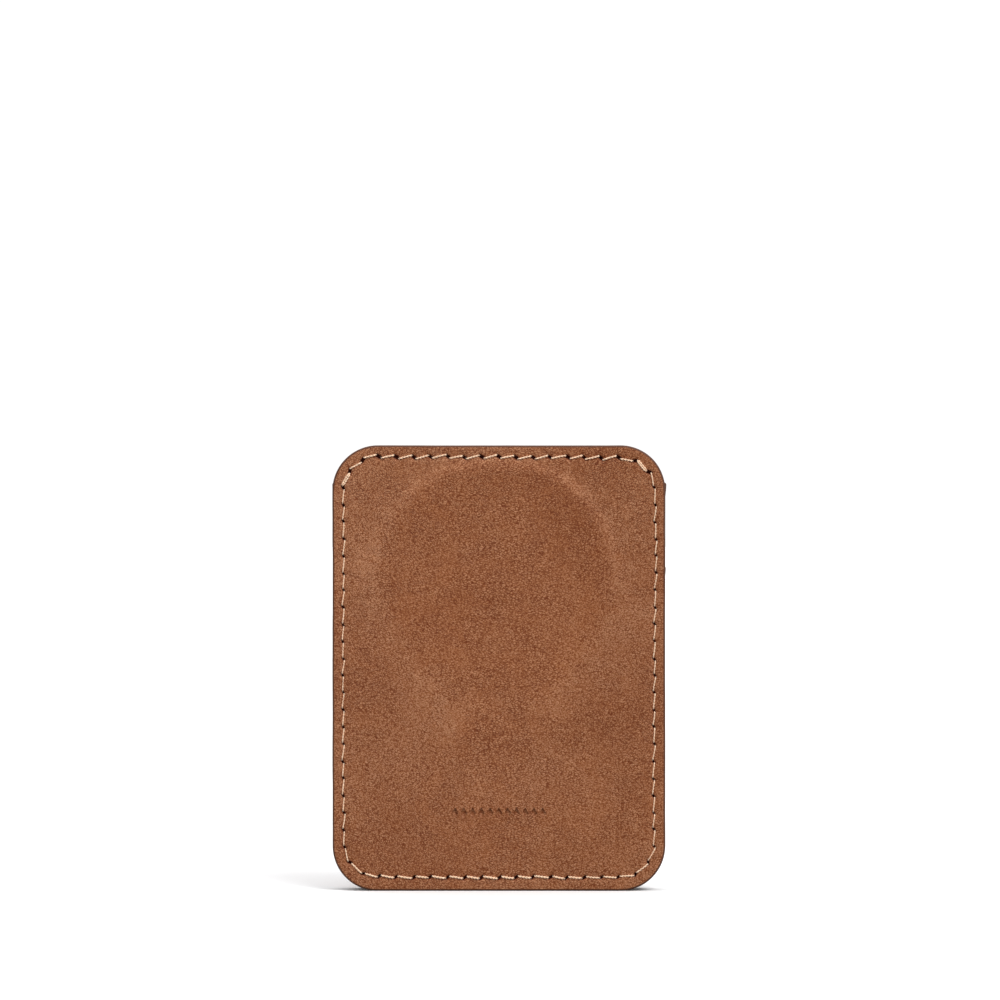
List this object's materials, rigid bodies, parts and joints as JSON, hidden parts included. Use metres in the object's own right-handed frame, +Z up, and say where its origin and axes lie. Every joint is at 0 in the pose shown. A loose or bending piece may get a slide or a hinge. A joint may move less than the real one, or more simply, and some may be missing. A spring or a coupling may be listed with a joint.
{
  "type": "magnetic card holder",
  "caption": "Flat sewn leather card holder with a magnetic plain face for the back of a phone and two open-topped card slots behind.",
  "frame": {"origin": "middle of the bottom edge, half way through the sewn stack, on the surface the holder stands on", "axes": "+Z up along the card slots, -Y out of the plain magnetic face, +Y out of the pocket side, +X to the right when looking at the magnetic face"},
  "size_m": [0.071, 0.0102, 0.095],
  "materials": {
    "leather": "brown full-grain leather, waxed, fine pebble grain, dark painted edges",
    "welt_leather": "brown leather, dark painted edge",
    "board": "bonded leather-fibre board, dark painted edge",
    "film": "thin matt plastic sheet",
    "magnet": "nickel-plated magnet",
    "steel": "cold-rolled steel sheet",
    "thread": "pale tan waxed polyester thread"
  },
  "bodies": {
    "root": {"back_panel": "leather", "magnet_cover": "film", "magnet_ring": "magnet", "ring_yoke": "steel", "center_disc": "board", "bar_magnet": "magnet", "bar_yoke": "steel", "core_board": "board", "shield_plate": "steel", "lining_panel": "leather", "rear_welt": "welt_leather", "pocket_panel": "leather", "front_welt": "welt_leather", "front_pocket": "leather", "needle_thread": "thread", "bobbin_thread": "thread"}
  },
  "joints": []
}
